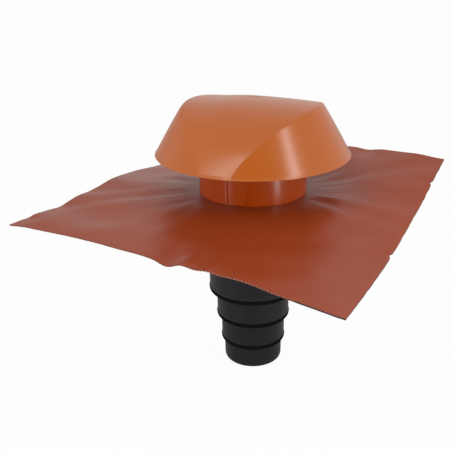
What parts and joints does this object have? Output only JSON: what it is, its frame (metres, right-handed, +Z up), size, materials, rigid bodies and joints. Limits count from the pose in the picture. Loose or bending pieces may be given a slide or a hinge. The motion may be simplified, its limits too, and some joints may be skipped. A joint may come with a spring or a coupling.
{
  "type": "roof vent cap",
  "caption": "Roof ventilation terminal with an arched conical hood on a short neck, a soft draped flashing sheet and a stepped rubber duct adapter.",
  "frame": {"origin": "on the duct axis at the lower end of the adapter, where the part stands", "axes": "+Z up along the duct, +Y up the roof's slope, +X across the roof"},
  "size_m": [0.525, 0.525, 0.4636],
  "materials": {
    "hood_plastic": "satin moulded plastic, terracotta orange",
    "neck_plastic": "smooth rolled plastic, terracotta orange",
    "tube_plastic": "matt moulded plastic, terracotta",
    "flashing": "fine pleated soft sheet with a dull sheen, red-brown",
    "adapter_rubber": "satin black rubber",
    "steel": "plain bright steel"
  },
  "bodies": {
    "root": {"hood": "hood_plastic", "neck_sleeve": "neck_plastic", "base_tube": "tube_plastic", "flashing_sheet": "flashing", "adapter": "adapter_rubber", "hood_screws": "steel", "clamp_band": "steel", "clamp_screw": "steel"}
  },
  "joints": []
}
